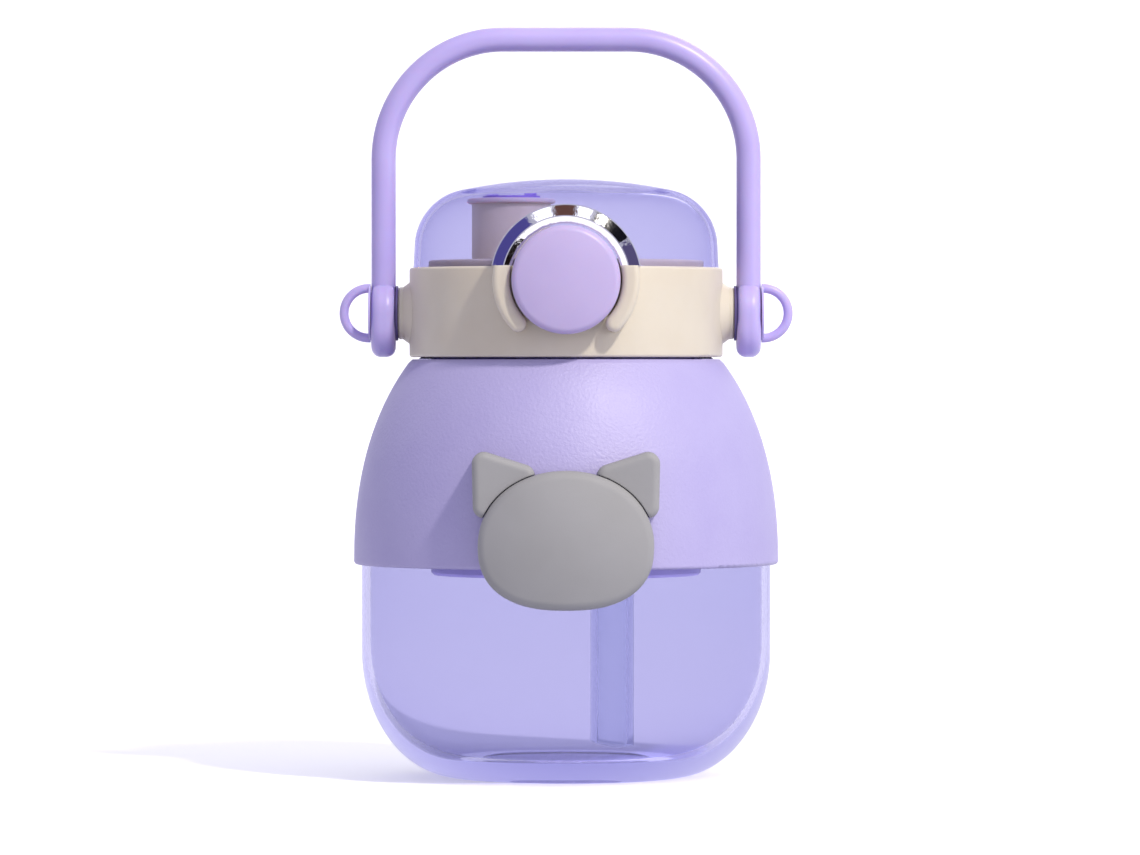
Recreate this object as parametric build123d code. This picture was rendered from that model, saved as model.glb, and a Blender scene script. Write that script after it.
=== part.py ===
from build123d import *
import math
import os

# ---- cup -------------------------------------------------------------
CUP_R = 47.0            # outer radius of the clear cup
WALL = 2.0
FOOT_R = 25.0           # outer edge of the flat base ring
FOOT_RISE = 29.0        # height of the rounded bottom corner
PUNT_R = 19.4           # recess inside the base ring
PUNT_DEEP = 1.4
FLOOR_Z = 5.0           # inner floor, thick base
NECK_R = 32.8           # thread root on the neck
NECK_BORE = 31.3
RIM_Z = 107.0

# ---- screw thread ----------------------------------------------------
LEAD = 4.0
THREAD_Z = 98.5
NECK_CREST = 33.8
LID_BORE = 34.0
LID_CREST = 33.0

# ---- shoulder sleeve: r = BELL_R (1 - ((z - BELL_Z) / BELL_H)^BELL_N)^(1 / BELL_N)
BELL_R = 48.75
BELL_Z = 50.0
BELL_H = 63.07
BELL_N = 2.2
SLEEVE_T = 1.5
SLEEVE_LIP_Z = 49.0
SLEEVE_TOP_Z = 96.0
SLEEVE_HOLE = 34.0

# ---- lid collar and deck ---------------------------------------------
COLLAR_R = 36.0
COLLAR_Z = 96.5
COLLAR_TOP = 117.0
LEDGE_Z = 111.4         # underside of the ledge that the deck meets
LEDGE_R = 31.8
DECK_R = 32.8
DECK_Z = 109.4
RIM_OUT, RIM_IN = 31.6, 30.0
RIM_TOP = 118.7
SPOUT_X, SPOUT_Y = -12.6, 2.0
TOWER_R = 9.1
TOWER_TOP = 131.9
FLANGE_R = 10.15
FLANGE_TOP = 133.3
VENT_X, VENT_Y = 15.0, 13.0

# ---- straw and strainer ----------------------------------------------
STRAW_R, STRAW_BORE = 5.0, 3.35
STRAW_X = 10.6
STRAW_END = 6.5
BASKET_R = 31.0
BASKET_T = 1.2
BASKET_Z = 46.5

# ---- dome ------------------------------------------------------------
DOME_T = 1.5
HINGE_Y, HINGE_Z = 37.6, 98.0
KNUCKLE_R = 2.1
PIN_R = 1.1

# ---- button ----------------------------------------------------------
BUTTON_Z = 113.8
BUTTON_R = 12.2
BUTTON_FRONT = -44.2
BUTTON_CROWN = 45.0       # radius of its domed face
BUTTON_BACK = -38.8
HORN_IN, HORN_OUT = 12.6, 16.5
HORN_FRONT = -39.8
BEZEL_IN, BEZEL_FACE, BEZEL_OUT = 12.6, 14.2, 17.0
BEZEL_FRONT = -38.9
BEZEL_SLOPE, BEZEL_DISH = 1.25, 0.25
BOSS_IN, BOSS_OUT = 8.7, 10.1
STEM_X = 3.6

# ---- handle and eyelets ----------------------------------------------
PIVOT_Z = 106.6
ARM_X = 41.95
ROD_R = 2.8
HANDLE_TOP = 169.5
HANDLE_BEND = 27.5
PILL_R = 6.9
PILL_DROP = 3.2
BOSS_END = 38.6
EYELET_X = 45.35
EYELET_R = 5.7
EYELET_WIRE = 1.05

# ---- badge -----------------------------------------------------------
BADGE_A = 19.6
BADGE_Z = 54.6
BADGE_UP, BADGE_DOWN = 16.6, 14.4
BADGE_N_UP, BADGE_N_DOWN = 2.05, 2.45

made = {}


def turned(edges):
    """A solid of revolution about Z; the outline is drawn as radius and height."""
    return revolve(Plane.XZ * make_face(edges), Axis.Z)


def rod(radius, start, end, axis="Z", at=(0, 0)):
    """A cylinder along one axis from start to end, centred at `at` in the other two."""
    along = {
        "X": Plane((start, at[0], at[1]), x_dir=(0, 1, 0), z_dir=(1, 0, 0)),
        "Y": Plane((at[0], start, at[1]), x_dir=(1, 0, 0), z_dir=(0, 1, 0)),
        "Z": Plane((at[0], at[1], start)),
    }[axis]
    return extrude(along * Circle(radius), end - start)


def block(x, y, z):
    """A box from three (low, high) pairs."""
    size = [b - a for a, b in (x, y, z)]
    mid = [(a + b) / 2 for a, b in (x, y, z)]
    return Pos(*mid) * Box(*size)


def bell_r(z):
    up = max(z - BELL_Z, 0) / BELL_H
    return BELL_R * (1 - up**BELL_N) ** (1 / BELL_N)


def bell_point(z, inset):
    """The sleeve's outer curve at z, moved inset mm along its inward normal."""
    slope = (bell_r(z + 0.01) - bell_r(z - 0.01)) / 0.02
    n = math.hypot(1, slope)
    return (bell_r(z) - inset / n, z + inset * slope / n)


def bell_curve(z_low, z_high, inset, count=8):
    points = [
        bell_point(z_low + (z_high - z_low) * i / (count - 1), inset)
        for i in range(count)
    ]
    return Spline(*points), points[0], points[-1]


def thread(base, crest, turns):
    """A right-hand ridge on the base radius that narrows towards the crest."""
    path = Helix(LEAD, LEAD * turns, min(base, crest), center=(0, 0, THREAD_Z))
    outline = Polyline(
        (base, THREAD_Z - 0.75),
        (crest, THREAD_Z - 0.4),
        (crest, THREAD_Z + 0.4),
        (base, THREAD_Z + 0.75),
        close=True,
    )
    return sweep(Plane.XZ * make_face(outline), path=path, is_frenet=True)


def bottle_shell():
    outer, o0, o1 = bell_curve(57, 92.6, SLEEVE_T + 1.4)
    inner, i0, i1 = bell_curve(57, 93.4, SLEEVE_T + 1.4 + WALL)
    edges = [
        Polyline(
            (0, PUNT_DEEP), (PUNT_R - 1.6, PUNT_DEEP), (PUNT_R, 0), (FOOT_R, 0)
        ),
        EllipticalCenterArc((FOOT_R, FOOT_RISE), CUP_R - FOOT_R, FOOT_RISE, -90, arc_size=90),
        Polyline((CUP_R, FOOT_RISE), (CUP_R, 53.8), o0),
        outer,
        Polyline(
            o1,
            (34.7, 92.2),
            (34.7, 94.2),
            (33.9, 94.2),
            (33.9, 96.1),
            (NECK_R, 96.9),
            (NECK_R, RIM_Z - 0.5),
            (NECK_R - 0.5, RIM_Z),
            (NECK_BORE + 0.4, RIM_Z),
            (NECK_BORE, RIM_Z - 0.4),
            (NECK_BORE, 92.2),
            i1,
        ),
        inner,
        Polyline(i0, (CUP_R - WALL, 53.4), (CUP_R - WALL, 31)),
        EllipticalCenterArc((24, 31), CUP_R - WALL - 24, 31 - FLOOR_Z, -90, arc_size=90),
        Polyline((24, FLOOR_Z), (0, FLOOR_Z), (0, PUNT_DEEP)),
    ]
    return turned(edges) + thread(NECK_R - 0.3, NECK_CREST, 1.6)


def shoulder_sleeve():
    outer, o0, o1 = bell_curve(BELL_Z, 95.2, 0)
    inner, i0, i1 = bell_curve(BELL_Z, 95.0, SLEEVE_T)
    lip = SLEEVE_LIP_Z + 0.75
    r_in = BELL_R - SLEEVE_T
    edges = [
        Line((BELL_R, lip), o0),
        outer,
        Polyline(o1, (35.3, SLEEVE_TOP_Z), (SLEEVE_HOLE, SLEEVE_TOP_Z)),
        Polyline((SLEEVE_HOLE, SLEEVE_TOP_Z), (SLEEVE_HOLE, 94.35), i1),
        inner,
        Line(i0, (r_in, lip)),
        ThreePointArc((r_in, lip), (BELL_R - 0.75, SLEEVE_LIP_Z), (BELL_R, lip)),
    ]
    body = turned(edges)
    for x in (-9, 9):
        body -= rod(1.55, -50, -40, "Y", (x, 60))
    return body


def bell_solid(grow):
    """Everything inside the sleeve's outer skin, grown by a small gap."""
    outer, o0, o1 = bell_curve(BELL_Z, 92, -grow)
    edges = [
        Polyline(o0, (BELL_R + grow, 30), (0, 30), (0, 95), (o1[0], 95), o1),
        outer,
    ]
    return turned(edges)


def badge_outline(scale=1.0, count=40):
    """The head: a rounded egg, wide and low, in the XZ plane."""
    points = []
    for i in range(count):
        a = 2 * math.pi * i / count
        c, s = math.cos(a), math.sin(a)
        half, n = (BADGE_UP, BADGE_N_UP) if s > 0 else (BADGE_DOWN, BADGE_N_DOWN)
        points.append(
            (
                scale * BADGE_A * math.copysign(abs(c) ** (2 / n), c),
                BADGE_Z + scale * half * math.copysign(abs(s) ** (2 / n), s),
            )
        )
    return points


def badge():
    """Head, two ears, a back plate that follows the sleeve, and push-on retainers."""
    seat = bell_solid(1.25)
    skin = bell_solid(0.05)
    face = make_face(Spline(*badge_outline(count=24), periodic=True))
    head = extrude(Plane.XZ.offset(44) * face, 13.4)
    crown = Pos(0, -7.5, BADGE_Z + 0.8) * Sphere(49.6)
    head = (head & crown) - seat
    front = head.edges().filter_by(lambda e: e.center().Y < -50.0)
    head = fillet(front, 2.6)
    ear_face = make_face(
        Polyline((-21.0, 76.3), (-4.0, 71.0), (-20.6, 58.0), close=True)
    )
    ear_face = fillet(ear_face.vertices(), 2.6)
    ear = extrude(Plane.XZ.offset(40) * ear_face, 12.2)
    ear = fillet(ear.faces().sort_by(Axis.Y)[0].edges(), 1.6)
    grown = make_face(Spline(*badge_outline(1.012, 24), periodic=True))
    ear -= extrude(Plane.XZ.offset(38) * grown, 30)
    made["badge_head"] = head
    made["badge_ear_left"] = ear - skin
    made["badge_ear_right"] = mirror(made["badge_ear_left"], Plane.YZ)
    plate_face = make_face(Spline(*badge_outline(0.82, 24), periodic=True))
    plate = extrude(Plane.XZ.offset(40) * plate_face, 12) & bell_solid(1.1)
    plate -= skin
    for x in (-9, 9):
        plate += rod(1.45, -48.1, -45.0, "Y", (x, 60))
    made["badge_backplate"] = plate
    for x, side in ((-9, "left"), (9, "right")):
        ring = rod(2.5, -48, -43, "Y", (x, 60)) - rod(1.46, -49, -42, "Y", (x, 60))
        made["badge_retainer_" + side] = ring & bell_solid(-1.65) - bell_solid(-2.5)


def dome_edges(grow):
    """The dome's outer outline moved outwards by grow mm, down to the collar."""
    top = (0, 137.4 + grow)
    shoulder = (24.3 + 0.2042 * grow, 134.9 + 0.979 * grow)
    middle = (31.84 + 0.7705 * grow, 130.25 + 0.6374 * grow)
    side = (34.85 + grow, 122.1)
    foot = (35.1 + grow, COLLAR_TOP)
    half = (12.15 + 0.1021 * grow, 136.78 + 0.9948 * grow)
    return [
        ThreePointArc(top, half, shoulder),
        ThreePointArc(shoulder, middle, side),
        Line(side, foot),
    ], top, foot


def dome_solid(grow, low=COLLAR_TOP):
    edges, top, foot = dome_edges(grow)
    down = [(foot[0], low)] if low < COLLAR_TOP else []
    edges.append(Polyline(foot, *down, (0, low), top))
    return turned(edges)


def lid_collar():
    r, c = COLLAR_R, 0.6
    edges = [
        Polyline(
            (LID_BORE, COLLAR_TOP),
            (LID_BORE, 113.4),
            (LEDGE_R, 113.4),
            (LEDGE_R, LEDGE_Z),
            (LID_BORE, LEDGE_Z),
            (LID_BORE, COLLAR_Z),
            (r - c, COLLAR_Z),
        ),
        RadiusArc((r - c, COLLAR_Z), (r, COLLAR_Z + c), -c),
        Line((r, COLLAR_Z + c), (r, COLLAR_TOP - c)),
        RadiusArc((r, COLLAR_TOP - c), (r - c, COLLAR_TOP), -c),
        Line((r - c, COLLAR_TOP), (LID_BORE, COLLAR_TOP)),
    ]
    body = turned(edges)
    keep = rod(LID_BORE, COLLAR_Z - 5, LEDGE_Z)
    keep += rod(LEDGE_R, LEDGE_Z - 1, COLLAR_TOP + 20)
    keep += rod(LID_BORE, 113.4, COLLAR_TOP + 20)
    for s in (-1, 1):
        side = rod(6.0, s * 33.2, s * BOSS_END, "X", (0, PIVOT_Z))
        side = chamfer(side.edges().filter_by(GeomType.CIRCLE).sort_by(Axis.X)[-1 if s > 0 else 0], 0.4)
        flare = Plane((s * 35.0, 0, PIVOT_Z), z_dir=(s, 0, 0))
        side += loft([flare * Circle(7.8), flare.offset(2.6) * Circle(5.9)])
        body += side - keep
        body -= rod(2.93, s * 34.6, s * 40, "X", (0, PIVOT_Z))
    body += button_boss() - keep
    body += horns() - keep
    for x in ((-9.4, -7.0), (7.0, 9.4)):
        lug = block(x, (34.6, HINGE_Y), (COLLAR_Z, HINGE_Z + KNUCKLE_R))
        lug += rod(KNUCKLE_R, x[0], x[1], "X", (HINGE_Y, HINGE_Z))
        body += lug - keep
    body -= rod(PIN_R + 0.02, -10, 10, "X", (HINGE_Y, HINGE_Z))
    body -= block((-6.95, 6.95), (35.2, 37), (COLLAR_Z - 1, 101.2))
    body -= block((-4.0, 4.0), (-37.5, -29), (111.7, 114.7))
    return body + Rot(0, 0, 180) * thread(LID_BORE + 0.3, LID_CREST, 1.5)


def button_boss():
    """The cup-shaped guide that holds the button spring."""
    ring = rod(BOSS_OUT, -39.0, -33.0, "Y", (0, BUTTON_Z))
    ring -= rod(BOSS_IN, -39.1, -37.2, "Y", (0, BUTTON_Z))
    return ring - dome_solid(0.6)


def horns():
    """Two ridges round the button, from the collar's top edge downwards."""
    mid, wide = (HORN_IN + HORN_OUT) / 2, HORN_OUT - HORN_IN
    body = None
    for start in (-42, 158):
        arc = CenterArc((0, BUTTON_Z), mid, start, 64)
        horn = extrude(Plane.XZ.offset(-HORN_FRONT) * SlotArc(arc, wide), -8)
        front = horn.faces().sort_by(Axis.Y)[0]
        horn = fillet(front.edges(), 1.3)
        horn -= block((-30, 30), (-60, 0), (COLLAR_TOP, 140))
        body = horn if body is None else body + horn
    return body


def button_bezel():
    """The bright arch above the horns: an outer cone, and a dish towards the button."""
    back, front = -26, BEZEL_FRONT
    profile = Polyline(
        (BEZEL_IN, back),
        (BEZEL_IN, front + BEZEL_DISH),
        (BEZEL_FACE, front),
        (BEZEL_FACE + 0.25, front),
        (BEZEL_OUT - 0.25, front + BEZEL_SLOPE),
        (BEZEL_OUT, front + BEZEL_SLOPE + 0.3),
        (BEZEL_OUT, back),
        close=True,
    )
    ring = Pos(0, 0, BUTTON_Z) * revolve(make_face(profile), Axis.Y)
    ring -= block((-30, 30), (-60, 0), (80, COLLAR_TOP))
    return ring - dome_solid(0.45)


def lid_deck():
    body = rod(DECK_R, DECK_Z, LEDGE_Z)
    body += rod(RIM_OUT, LEDGE_Z, RIM_TOP) - rod(RIM_IN, LEDGE_Z, RIM_TOP)
    body = fillet(body.faces().sort_by(Axis.Z)[-1].edges(), 0.5)
    spout = (SPOUT_X, SPOUT_Y)
    body += rod(TOWER_R, LEDGE_Z, TOWER_TOP, "Z", spout)
    root = body.edges().filter_by(GeomType.CIRCLE).filter_by(
        lambda e: abs(e.radius - TOWER_R) < 0.01 and abs(e.center().Z - LEDGE_Z) < 0.01
    )
    body = fillet(root, 1.0)
    body -= rod(7.05, LEDGE_Z - 0.4, TOWER_TOP + 1, "Z", spout)
    body -= rod(3.4, DECK_Z - 1, LEDGE_Z, "Z", spout)
    body -= rod(1.2, DECK_Z - 1, LEDGE_Z + 1, "Z", (VENT_X, VENT_Y))
    body -= block((-4.0, 4.0), (-33, -28), (111.7, 114.7))
    return body


def mouthpiece():
    low, seat, c = LEDGE_Z - 0.35, TOWER_TOP + 0.02, 0.6
    edges = [
        Polyline(
            (2.2, 101.0),
            (3.2, 101.0),
            (3.3, 102.0),
            (3.3, low),
            (7.0, low),
            (7.0, seat),
            (FLANGE_R - c, seat),
        ),
        RadiusArc((FLANGE_R - c, seat), (FLANGE_R, seat + c), -c),
        Line((FLANGE_R, seat + c), (FLANGE_R, FLANGE_TOP - c)),
        RadiusArc((FLANGE_R, FLANGE_TOP - c), (FLANGE_R - c, FLANGE_TOP), -c),
        Polyline(
            (FLANGE_R - c, FLANGE_TOP),
            (4.8, FLANGE_TOP),
            (2.2, FLANGE_TOP - 2.0),
            (2.2, 101.0),
        ),
    ]
    return Pos(SPOUT_X, SPOUT_Y, 0) * turned(edges)


def straw():
    """A moulded tube: straight at the nipple, an S-bend, then straight down."""
    y = SPOUT_Y
    path = FilletPolyline(
        (SPOUT_X, y, DECK_Z - 0.2),
        (SPOUT_X, y, 92.5),
        (STRAW_X, y, 66),
        (STRAW_X, y, STRAW_END),
        radius=16,
    )
    start = Plane((SPOUT_X, y, DECK_Z - 0.2), x_dir=(1, 0, 0), z_dir=(0, 0, -1))
    tube = sweep(start * (Circle(STRAW_R) - Circle(STRAW_BORE)), path=path)
    # the lower end is cut on a slant so that it can't seal against the floor
    cut = Pos(STRAW_X, y, STRAW_END) * Rot(0, 14, 0) * Pos(0, 0, -10) * Box(30, 30, 20)
    return tube - cut


def strainer_basket():
    r_in = BASKET_R - BASKET_T
    edges = Polyline(
        (0, BASKET_Z),
        (BASKET_R - 0.6, BASKET_Z),
        (BASKET_R, BASKET_Z + 0.6),
        (BASKET_R, 108.2),
        (32.5, 108.2),
        (32.5, DECK_Z),
        (r_in, DECK_Z),
        (r_in, BASKET_Z + BASKET_T),
        (0, BASKET_Z + BASKET_T),
        close=True,
    )
    body = turned(edges)
    for low, high in ((54, 72), (78, 96)):
        for i in range(8):
            body -= Rot(0, 0, 22.5 * i) * block((-40, 40), (-1.2, 1.2), (low, high))
    body -= rod(STRAW_R + 0.35, 40, 50, "Z", (STRAW_X, SPOUT_Y))
    for ring_r, count in ((24.5, 20), (17, 12)):
        for i in range(count):
            a = 2 * math.pi * (i + 0.5) / count
            x, y = ring_r * math.cos(a), ring_r * math.sin(a)
            if math.hypot(x - STRAW_X, y - SPOUT_Y) > 8.5:
                body -= rod(1.5, 40, 50, "Z", (x, y))
    return body


def dome_lid():
    body = dome_solid(0) - dome_solid(-DOME_T, COLLAR_TOP - 1)
    strap = block((-6.7, 6.7), (36.5, 38.6), (HINGE_Z, 119.2))
    strap += block((-6.7, 6.7), (33.9, 38.6), (117.4, 121.4))
    strap = chamfer(strap.edges().filter_by(Axis.X).sort_by(Axis.Z)[-1], 1.9)
    strap += rod(KNUCKLE_R, -6.7, 6.7, "X", (HINGE_Y, HINGE_Z))
    strap -= block((-2.6, 2.6), (30, 45), (90, 101.4))
    strap -= rod(PIN_R + 0.05, -8, 8, "X", (HINGE_Y, HINGE_Z))
    body += strap - dome_solid(-DOME_T / 2)
    catch = block((-3.5, 3.5), (-29.3, -28.0), (115.4, 121.5))
    catch += block((-3.5, 3.5), (-34.0, -28.0), (119.3, 121.5))
    catch += block((-3.5, 3.5), (-28.0, -26.8), (115.4, 116.6))
    return body + catch


def spout_stopper():
    """The soft plug that shuts the spout, on two posts under the dome's ceiling."""
    low = FLANGE_TOP + 0.05
    body = rod(6.6, low, low + 0.75, "Z", (SPOUT_X, SPOUT_Y))
    for x in (SPOUT_X - 4.4, SPOUT_X + 4.4):
        post = block((x - 1.4, x + 1.4), (SPOUT_Y - 3, SPOUT_Y + 3), (low + 0.5, 137))
        body += post & dome_solid(-DOME_T - 0.01)
    tip = Plane((SPOUT_X, SPOUT_Y, low), x_dir=(1, 0, 0), z_dir=(0, 0, -1))
    return body + loft([tip * Circle(3.6), tip.offset(1.5) * Circle(1.6)])


def push_button():
    face = Plane((0, BUTTON_BACK, BUTTON_Z), x_dir=(1, 0, 0), z_dir=(0, -1, 0))
    body = extrude(face * Circle(BUTTON_R), BUTTON_BACK - BUTTON_FRONT)
    crown = Pos(0, BUTTON_FRONT + BUTTON_CROWN, BUTTON_Z) * Sphere(BUTTON_CROWN)
    body &= crown
    front = body.edges().filter_by(GeomType.CIRCLE).sort_by(Axis.Y)[0]
    body = fillet(front, 1.7)
    return body - rod(10.5, BUTTON_BACK + 1, -41.9, "Y", (0, BUTTON_Z))


def latch_hook():
    stem = block((-STEM_X, STEM_X), (-41.88, -25.0), (112.0, 114.4))
    stem += block((-STEM_X, STEM_X), (-26.4, -25.0), (112.0, 118.0))
    stem += block((-STEM_X, STEM_X), (-27.8, -25.0), (116.9, 118.0))
    return stem


def coil(radius, wire, pitch, turns, place):
    path = Helix(pitch, pitch * turns, radius)
    start = Plane((radius, 0, 0), x_dir=(1, 0, 0), z_dir=(0, 1, 0))
    return place * sweep(start * Circle(wire), path=path, is_frenet=True)


def handle_bail():
    low = PIVOT_Z + 4.4
    path = FilletPolyline(
        (-ARM_X, 0, low),
        (-ARM_X, 0, HANDLE_TOP),
        (ARM_X, 0, HANDLE_TOP),
        (ARM_X, 0, low),
        radius=HANDLE_BEND,
    )
    body = sweep(Plane((-ARM_X, 0, low)) * Circle(ROD_R), path=path)
    for s in (-1, 1):
        x = s * ARM_X - ROD_R
        plane = Plane((x, 0, 0), x_dir=(0, 1, 0), z_dir=(1, 0, 0))
        lobe = SlotCenterToCenter(PILL_DROP, 2 * PILL_R, rotation=90)
        pill = extrude(
            plane * Pos(0, PIVOT_Z - PILL_DROP / 2) * lobe, 2 * ROD_R
        )
        ends = pill.faces().sort_by(Axis.X)
        pill = fillet(ends[0].edges() + ends[-1].edges(), 2.2)
        body += pill
    for s in (-1, 1):
        body -= rod(2.95, s * (ARM_X - 5), s * (ARM_X + 5), "X", (0, PIVOT_Z))
    return body


def strap_eyelet(side):
    """Pivot pin, head and half-round strap loop in one piece."""
    pin = rod(2.9, 34.7, EYELET_X, "X", (0, PIVOT_Z))
    head = rod(6.2, EYELET_X - 0.5, EYELET_X, "X", (0, PIVOT_Z))
    plane = Plane((EYELET_X, 0, PIVOT_Z), x_dir=(1, 0, 0), z_dir=(0, -1, 0))
    path = plane * CenterArc((0, 0), EYELET_R, -90, 180)
    start = Plane(
        (EYELET_X, 0, PIVOT_Z - EYELET_R), x_dir=(0, 1, 0), z_dir=(1, 0, 0)
    )
    loop = sweep(start * Circle(EYELET_WIRE), path=path)
    tails = None
    for z in (PIVOT_Z - EYELET_R, PIVOT_Z + EYELET_R):
        tail = rod(EYELET_WIRE, EYELET_X - 0.4, EYELET_X, "X", (0, z))
        tails = tail if tails is None else tails + tail
    body = pin + head + loop + tails
    return body if side > 0 else mirror(body, Plane.YZ)


def build():
    made["bottle_shell"] = bottle_shell()
    made["shoulder_sleeve"] = shoulder_sleeve()
    badge()
    ring = rod(32.6, RIM_Z, 108.2) - rod(31.35, RIM_Z, 108.2)
    made["lid_seal"] = ring
    made["lid_collar"] = lid_collar()
    made["button_bezel"] = button_bezel()
    made["lid_deck"] = lid_deck()
    made["mouthpiece"] = mouthpiece()
    made["straw"] = straw()
    made["strainer_basket"] = strainer_basket()
    cap = rod(3.2, LEDGE_Z, LEDGE_Z + 0.9, "Z", (VENT_X, VENT_Y))
    bulb = rod(1.9, DECK_Z - 1.6, DECK_Z, "Z", (VENT_X, VENT_Y))
    made["vent_valve"] = cap + bulb + rod(1.15, DECK_Z, LEDGE_Z, "Z", (VENT_X, VENT_Y))
    pin = rod(PIN_R, -9.4, 9.9, "X", (HINGE_Y, HINGE_Z))
    made["hinge_pin"] = pin + rod(1.7, 9.45, 9.95, "X", (HINGE_Y, HINGE_Z))
    along_x = Plane((-2.1, HINGE_Y, HINGE_Z), x_dir=(0, 1, 0), z_dir=(1, 0, 0))
    made["hinge_spring"] = coil(1.65, 0.28, 0.85, 5, along_x.location)
    along_y = Plane((0, -41.6, BUTTON_Z), x_dir=(1, 0, 0), z_dir=(0, 1, 0))
    made["button_spring"] = coil(5.9, 0.25, 1.15, 3.6, along_y.location)
    for s, side in ((-1, "left"), (1, "right")):
        washer = rod(6.3, s * BOSS_END, s * 39.1, "X", (0, PIVOT_Z))
        washer -= rod(3.1, s * 38, s * 40, "X", (0, PIVOT_Z))
        made["pivot_washer_" + side] = washer
        made["strap_eyelet_" + side] = strap_eyelet(s)
    made["dome_lid"] = dome_lid()
    made["spout_stopper"] = spout_stopper()
    made["push_button"] = push_button()
    made["latch_hook"] = latch_hook()
    made["handle_bail"] = handle_bail()


build()
os.makedirs("parts", exist_ok=True)
for name, shape in made.items():
    solids = shape.solids()
    box = shape.bounding_box()
    print(
        f"{name}: {len(solids)} solid, {sum(s.volume for s in solids):.0f} mm3,"
        f" x {box.min.X:.1f}..{box.max.X:.1f} y {box.min.Y:.1f}..{box.max.Y:.1f}"
        f" z {box.min.Z:.1f}..{box.max.Z:.1f}, valid {shape.is_valid}"
    )
    export_step(shape, f"parts/{name}.step")
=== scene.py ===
import math

import bpy
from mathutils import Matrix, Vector

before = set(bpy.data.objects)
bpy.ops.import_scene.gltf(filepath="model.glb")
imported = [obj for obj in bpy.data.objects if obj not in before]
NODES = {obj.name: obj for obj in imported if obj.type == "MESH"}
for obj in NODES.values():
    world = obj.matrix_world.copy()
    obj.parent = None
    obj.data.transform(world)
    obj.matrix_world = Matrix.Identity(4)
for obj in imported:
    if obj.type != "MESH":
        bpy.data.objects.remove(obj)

# ---- settings: metres, degrees, watts and sRGB hex colours -----------
CAMERA_PLACE = (0.0009, -1.45, 0.095)
CAMERA_DROP = 0.58  # how far it looks below level
CAMERA_LENS = 199.1  # mm
SENSOR_WIDTH = 36.0  # mm
CLIP_START = 0.05

LAMP_TARGET = (0, 0, 0.08)
LAMPS = (
    # name, place, size, power, colour
    ("key", (0.66, -0.93, 1.22), 0.12, 18.0, (1.0, 0.94, 0.84)),
    ("side", (1.2, -0.7, 0.35), 0.9, 3.5, (1, 1, 1)),
    ("back", (0.3, 1.3, 0.9), 0.9, 4.0, (1, 1, 1)),
)

BEZEL_CENTRE = (0, -0.039, 0.114)
CARD_DISTANCE = 0.7  # from the bezel
CARDS = (
    # name, angle off the bezel's axis, turn (0 right, 90 up), colour, glow, width, height
    ("card_grey", 57, 20, "5A5278", 0.4, 0.26, 0.3),
    ("card_dark", 57, 50, "12101C", 0.05, 0.34, 0.3),
    ("card_white_right", 57, 75, "FFFFFF", 1.2, 0.12, 0.3),
    ("card_brown", 57, 91, "6A4A40", 0.4, 0.18, 0.3),
    ("card_white_left", 57, 109, "FFFFFF", 1.0, 0.16, 0.3),
    ("card_violet", 57, 145, "4A4684", 0.5, 0.5, 0.3),
    ("card_near_dark", 18, 310, "1E1410", 0.05, 0.36, 0.22),
    ("card_near_white", 18, 222, "F4F2EE", 0.9, 0.36, 0.22),
)

WORLD_COLOR = (0.90, 0.88, 1.08, 1.0)
WORLD_LEFT, WORLD_RIGHT = 0.60, 0.76  # its strength on each side

FLOOR_HALF_WIDTH = 3.0
FLOOR_FRONT = -3.0
WALL_PLACE, WALL_TOP = 1.8, 3.0
SWEEP_RADIUS, SWEEP_STEPS = 0.8, 12
FLOOR_GLOW = 0.3

NOISE_LOW, NOISE_HIGH = 0.3, 0.7  # the part of the noise's range that is used
MOTTLE_SIZE, MOTTLE_DETAIL = 0.014, 4.0
GLOSS_SIZE, GLOSS_DETAIL = 0.02, 5.0
GLOSS_LOW, GLOSS_HIGH = 0.88, 1.12  # shares of a plastic's roughness
FAINT_GLOW = {"Subsurface_Weight": 0.15, "Subsurface_Scale": 0.004}
CREAM_GLOW = {
    "Subsurface_Weight": 0.3,
    "Subsurface_Scale": 0.004,
    "Subsurface_Radius": (1.0, 0.9, 0.7),
}
LIP_LOW, LIP_HIGH = 0.1316, 0.1321  # the heights where the spout's colour changes


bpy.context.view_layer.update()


# ---- materials -------------------------------------------------------
def linear(hex_code):
    """A hex sRGB colour as linear RGBA."""
    out = []
    for i in (0, 2, 4):
        c = int(hex_code[i : i + 2], 16) / 255
        out.append(c / 12.92 if c <= 0.04045 else ((c + 0.055) / 1.055) ** 2.4)
    return (*out, 1.0)


def new_material(name, color, rough, **inputs):
    """A Principled material; returns (material, nodes, links, shader)."""
    mat = bpy.data.materials.new(name)
    mat.use_nodes = True
    nodes, links = mat.node_tree.nodes, mat.node_tree.links
    shader = nodes["Principled BSDF"]
    shader.inputs["Base Color"].default_value = linear(color)
    shader.inputs["Roughness"].default_value = rough
    for key, value in inputs.items():
        shader.inputs[key.replace("_", " ")].default_value = value
    return mat, nodes, links, shader


def noise(nodes, links, size, detail=3.0):
    """Noise in the object's own space, with features of the given size."""
    coord = nodes.new("ShaderNodeTexCoord")
    tex = nodes.new("ShaderNodeTexNoise")
    tex.inputs["Scale"].default_value = 1.0 / size
    tex.inputs["Detail"].default_value = detail
    links.new(coord.outputs["Object"], tex.inputs["Vector"])
    return tex


def ranged(nodes, links, source, low, high):
    """Stretches the middle of a noise over the range from low to high."""
    span = nodes.new("ShaderNodeMapRange")
    span.inputs["From Min"].default_value = NOISE_LOW
    span.inputs["From Max"].default_value = NOISE_HIGH
    span.inputs["To Min"].default_value = low
    span.inputs["To Max"].default_value = high
    links.new(source.outputs["Fac"], span.inputs["Value"])
    return span


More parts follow.
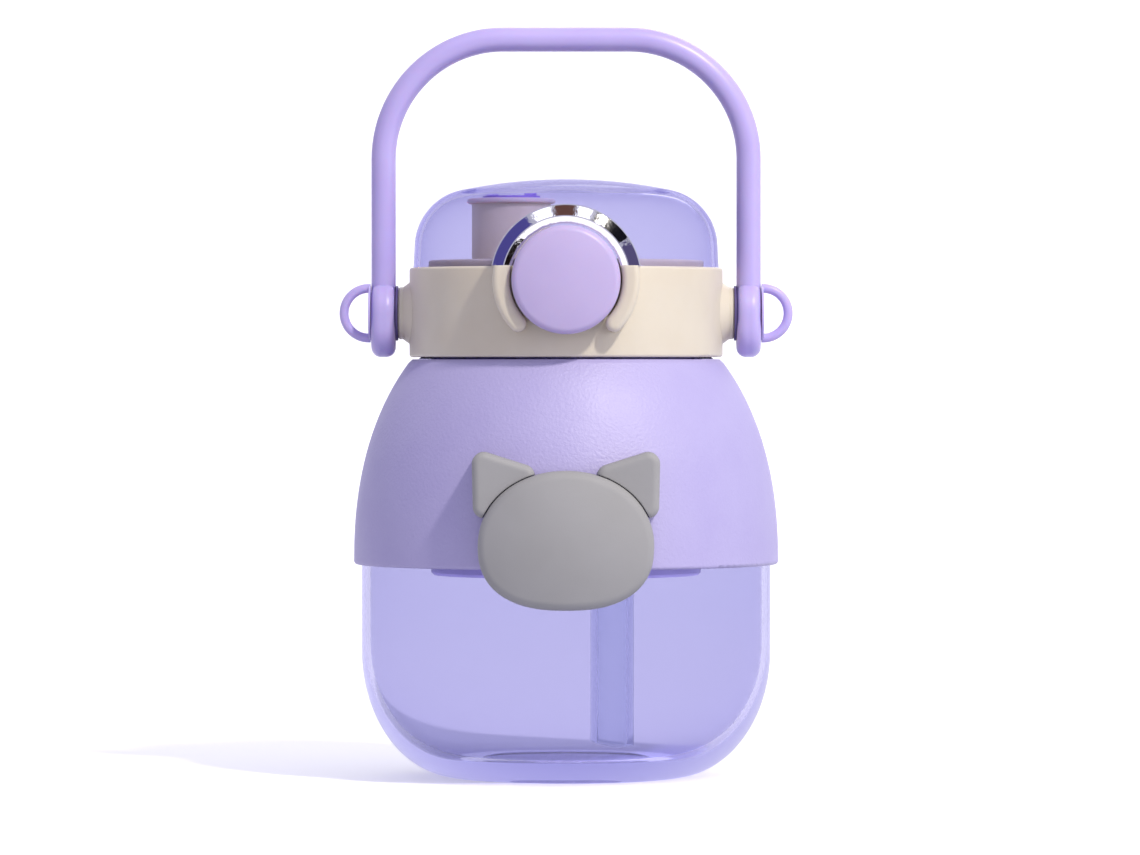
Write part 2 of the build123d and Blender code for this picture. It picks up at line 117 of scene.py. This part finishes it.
def grain(nodes, links, shader, size, strength, depth, edge):
    """A fine moulded grain, over edges softened by the radius edge."""
    bump = nodes.new("ShaderNodeBump")
    bump.inputs["Strength"].default_value = strength
    bump.inputs["Distance"].default_value = depth
    links.new(noise(nodes, links, size).outputs["Fac"], bump.inputs["Height"])
    if edge:
        bevel = nodes.new("ShaderNodeBevel")
        bevel.samples = 4
        bevel.inputs["Radius"].default_value = edge
        links.new(bevel.outputs["Normal"], bump.inputs["Normal"])
    links.new(bump.outputs["Normal"], shader.inputs["Normal"])


def mottled(nodes, links, shader, color, deeper):
    """Slow drifts between two near colours, as in pigmented plastic."""
    mix = nodes.new("ShaderNodeMix")
    mix.data_type = "RGBA"
    mix.inputs["A"].default_value = linear(color)
    mix.inputs["B"].default_value = linear(deeper)
    drift = noise(nodes, links, MOTTLE_SIZE, MOTTLE_DETAIL)
    span = ranged(nodes, links, drift, 0.0, 1.0)
    links.new(span.outputs["Result"], mix.inputs["Factor"])
    links.new(mix.outputs["Result"], shader.inputs["Base Color"])


def plastic(
    name,
    color,
    deeper,
    rough,
    size=0.0004,
    strength=0.25,
    edge=0.0003,
    depth=0.00004,
    **inputs,
):
    """Moulded plastic or rubber: grained, slightly mottled and unevenly glossy."""
    mat, nodes, links, shader = new_material(name, color, rough, **inputs)
    grain(nodes, links, shader, size, strength, depth, edge)
    mottled(nodes, links, shader, color, deeper)
    wear = noise(nodes, links, GLOSS_SIZE, GLOSS_DETAIL)
    gloss = ranged(nodes, links, wear, rough * GLOSS_LOW, rough * GLOSS_HIGH)
    links.new(gloss.outputs["Result"], shader.inputs["Roughness"])
    return mat


def metal(name, color, rough):
    """Smooth bare metal."""
    return new_material(name, color, rough, Metallic=1.0)[0]


def rippled_chrome(name, color, rough):
    """Chrome plating with the faint ripple of the moulding under it."""
    mat, nodes, links, shader = new_material(name, color, rough, Metallic=1.0)
    grain(nodes, links, shader, size=0.0014, strength=0.6, depth=0.00006, edge=0.0)
    return mat


def clear(name, color, shade, tint, density, rough, ior, **inputs):
    """Clear plastic, tinted by its depth, that lets the lamps light what is inside it.

    shade is the colour of the lamp light that it lets through."""
    mat, nodes, links, shader = new_material(
        name, color, rough, Transmission_Weight=1.0, IOR=ior, **inputs
    )
    path = nodes.new("ShaderNodeLightPath")
    film = nodes.new("ShaderNodeBsdfTransparent")
    film.inputs["Color"].default_value = linear(shade)
    mix = nodes.new("ShaderNodeMixShader")
    links.new(path.outputs["Is Shadow Ray"], mix.inputs[0])
    links.new(shader.outputs["BSDF"], mix.inputs[1])
    links.new(film.outputs["BSDF"], mix.inputs[2])
    out = nodes["Material Output"]
    links.new(mix.outputs["Shader"], out.inputs["Surface"])
    absorb = nodes.new("ShaderNodeVolumeAbsorption")
    absorb.inputs["Color"].default_value = linear(tint)
    absorb.inputs["Density"].default_value = density
    links.new(absorb.outputs["Volume"], out.inputs["Volume"])
    return mat


def lip(mat, color, low, high):
    """Changes a plastic's colour above a height, for a part moulded in two colours."""
    nodes, links = mat.node_tree.nodes, mat.node_tree.links
    shader = nodes["Principled BSDF"]
    body = shader.inputs["Base Color"].links[0].from_socket
    coord = nodes.new("ShaderNodeTexCoord")
    split = nodes.new("ShaderNodeSeparateXYZ")
    span = nodes.new("ShaderNodeMapRange")
    span.inputs["From Min"].default_value = low
    span.inputs["From Max"].default_value = high
    mix = nodes.new("ShaderNodeMix")
    mix.data_type = "RGBA"
    mix.inputs["B"].default_value = linear(color)
    links.new(coord.outputs["Object"], split.inputs["Vector"])
    links.new(split.outputs["Z"], span.inputs["Value"])
    links.new(span.outputs["Result"], mix.inputs["Factor"])
    links.new(body, mix.inputs["A"])
    links.new(mix.outputs["Result"], shader.inputs["Base Color"])


lilac = plastic("lilac_satin", "BCB0E6", "B7AAE3", 0.36, **FAINT_GLOW)
button = plastic("button_lilac", "BFB1D9", "BAACD6", 0.42, **FAINT_GLOW)
sleeve = plastic(
    "sleeve_matt",
    "AEA7D4",
    "A9A1D1",
    0.52,
    size=0.0007,
    strength=1.0,
    edge=0.0004,
    depth=0.00011,
    Specular_IOR_Level=0.9,
)
cream = plastic("cream_satin", "D9D1BE", "D4CBB7", 0.42, **CREAM_GLOW)
badge = plastic(
    "badge_rubber", "9C9C9C", "989897", 0.62, size=0.0003, strength=0.35, edge=0.0005
)
plate = plastic("badge_plate", "8C8C8E", "868689", 0.5)
white = plastic("seal_silicone", "E2DFE6", "DCD8E2", 0.5)
violet = plastic("strainer_violet", "CFC6F4", "C8BEF1", 0.4)
# Painted shade: the pivot washers are real friction washers, but their dark colour copies
# the shadow in the gap between the collar's bosses and the handle's knuckles.
washer_gap_shade = plastic("washer_violet", "54487E", "4E4278", 0.5)
latch = plastic("latch_cream", "D2CBC0", "CCC4B8", 0.45)
tower_soft = plastic(
    "spout_silicone",
    "F6CCB6",
    "F0C5AE",
    0.5,
    Subsurface_Weight=0.3,
    Subsurface_Scale=0.003,
)
lip(tower_soft, "CEC6CA", LIP_LOW, LIP_HIGH)
stopper = plastic("stopper_silicone", "9C86DC", "957ED6", 0.45)
steel = metal("spring_steel", "B8B8BC", 0.28)
chrome = rippled_chrome("bright_chrome", "DCDCE2", 0.06)
cup = clear(
    "cup_clear",
    "D2D1E7",
    "EEEDFA",
    "A9A6E0",
    density=19.0,
    rough=0.0,
    ior=1.03,
    Coat_Weight=0.05,
    Coat_Roughness=0.04,
)
dome = clear(
    "dome_clear", "DAD9EC", "ECE9FA", "9086D8", density=52.0, rough=0.0, ior=1.02
)
tube = clear(
    "straw_silicone", "F5F7FB", "F0F0FA", "9AA0D8", density=60.0, rough=0.1, ior=1.06
)

LOOK = {
    "bottle_shell": cup,
    "shoulder_sleeve": sleeve,
    "badge_head": badge,
    "badge_ear_left": badge,
    "badge_ear_right": badge,
    "badge_backplate": plate,
    "badge_retainer_left": steel,
    "badge_retainer_right": steel,
    "lid_seal": white,
    "lid_collar": cream,
    "lid_deck": cream,
    "button_bezel": chrome,
    "mouthpiece": tower_soft,
    "straw": tube,
    "strainer_basket": violet,
    "vent_valve": white,
    "hinge_pin": steel,
    "hinge_spring": steel,
    "button_spring": steel,
    # The washers' dark colour is painted shade of the gap they sit in.
    "pivot_washer_left": washer_gap_shade,
    "pivot_washer_right": washer_gap_shade,
    "strap_eyelet_left": lilac,
    "strap_eyelet_right": lilac,
    "dome_lid": dome,
    "spout_stopper": stopper,
    "push_button": button,
    "latch_hook": latch,
    "handle_bail": lilac,
}
for name, mat in LOOK.items():
    mesh = NODES[name].data
    mesh.materials.clear()
    mesh.materials.append(mat)


# ---- stage -----------------------------------------------------------
def staged(name, verts, faces, mat, smooth=False):
    """A mesh that belongs to the studio, not to the object."""
    mesh = bpy.data.meshes.new(name)
    mesh.from_pydata(verts, [], faces)
    mesh.polygons.foreach_set("use_smooth", [smooth] * len(faces))
    mesh.materials.append(mat)
    obj = bpy.data.objects.new(name, mesh)
    bpy.context.scene.collection.objects.link(obj)
    return obj


def cyclorama():
    """A pale floor that curves up into a back wall. It doesn't light the object's
    matt surfaces."""
    sweep = WALL_PLACE - SWEEP_RADIUS
    profile = [(FLOOR_FRONT, 0.0), (sweep, 0.0)]
    for i in range(1, SWEEP_STEPS + 1):
        a = math.radians(90 * i / SWEEP_STEPS)
        profile.append(
            (sweep + SWEEP_RADIUS * math.sin(a), SWEEP_RADIUS * (1 - math.cos(a)))
        )
    profile.append((WALL_PLACE, WALL_TOP))
    verts = [(x, y, z) for y, z in profile for x in (-FLOOR_HALF_WIDTH, FLOOR_HALF_WIDTH)]
    faces = [(2 * i, 2 * i + 1, 2 * i + 3, 2 * i + 2) for i in range(len(profile) - 1)]
    mat, _, _, shader = new_material("studio_white", "F4F4F5", 0.9)
    shader.inputs["Emission Color"].default_value = (1, 1, 1, 1)
    shader.inputs["Emission Strength"].default_value = FLOOR_GLOW
    floor = staged("studio_floor", verts, faces, mat, True)
    floor.visible_diffuse = False


def card(name, off, turn, color, glow, width, height):
    """A card that faces the bezel and only shows in reflections."""
    p, t = math.radians(off), math.radians(turn)
    out = Vector((math.sin(p) * math.cos(t), -math.cos(p), math.sin(p) * math.sin(t)))
    centre = Vector(BEZEL_CENTRE) + out * CARD_DISTANCE
    side = Vector((-math.sin(t), 0, math.cos(t)))
    up = out.cross(side)
    corners = ((-1, -1), (1, -1), (1, 1), (-1, 1))
    verts = [centre + side * width * i / 2 + up * height * j / 2 for i, j in corners]
    mat, _, _, shader = new_material(name, color, 1.0)
    shader.inputs["Specular IOR Level"].default_value = 0.0
    shader.inputs["Emission Color"].default_value = linear(color)
    shader.inputs["Emission Strength"].default_value = glow
    obj = staged(name, verts, [(0, 1, 2, 3)], mat)
    obj.visible_camera = obj.visible_diffuse = obj.visible_shadow = False
    obj.visible_transmission = False


def lamp(name, place, size, power, color):
    """A round area light that points at the object."""
    light = bpy.data.lights.new(name, "AREA")
    light.shape = "DISK"
    light.size = size
    light.energy = power
    light.color = color
    obj = bpy.data.objects.new(name, light)
    obj.location = place
    aim = Vector(LAMP_TARGET) - Vector(place)
    obj.rotation_euler = aim.to_track_quat("-Z", "Y").to_euler()
    bpy.context.scene.collection.objects.link(obj)


def soft_world():
    """Even light from all around that is weaker from the left."""
    world = bpy.data.worlds.new("studio_world")
    bpy.context.scene.world = world
    world.use_nodes = True
    nodes, links = world.node_tree.nodes, world.node_tree.links
    coord = nodes.new("ShaderNodeTexCoord")
    split = nodes.new("ShaderNodeSeparateXYZ")
    span = nodes.new("ShaderNodeMapRange")
    span.inputs["From Min"].default_value = -1.0
    span.inputs["To Min"].default_value = WORLD_LEFT
    span.inputs["To Max"].default_value = WORLD_RIGHT
    sky = nodes["Background"]
    sky.inputs["Color"].default_value = WORLD_COLOR
    links.new(coord.outputs["Generated"], split.inputs["Vector"])
    links.new(split.outputs["X"], span.inputs["Value"])
    links.new(span.outputs["Result"], sky.inputs["Strength"])


cyclorama()
for row in LAMPS:
    lamp(*row)
for row in CARDS:
    card(*row)
soft_world()

# ---- camera ----------------------------------------------------------
camera = bpy.data.cameras.new("camera")
camera.sensor_width = SENSOR_WIDTH
camera.lens = CAMERA_LENS
camera.clip_start = CLIP_START
view = bpy.data.objects.new("camera", camera)
view.location = CAMERA_PLACE
view.rotation_euler = (math.radians(90 - CAMERA_DROP), 0, 0)
bpy.context.scene.collection.objects.link(view)
bpy.context.scene.camera = view
bpy.context.scene.view_settings.view_transform = "Standard"
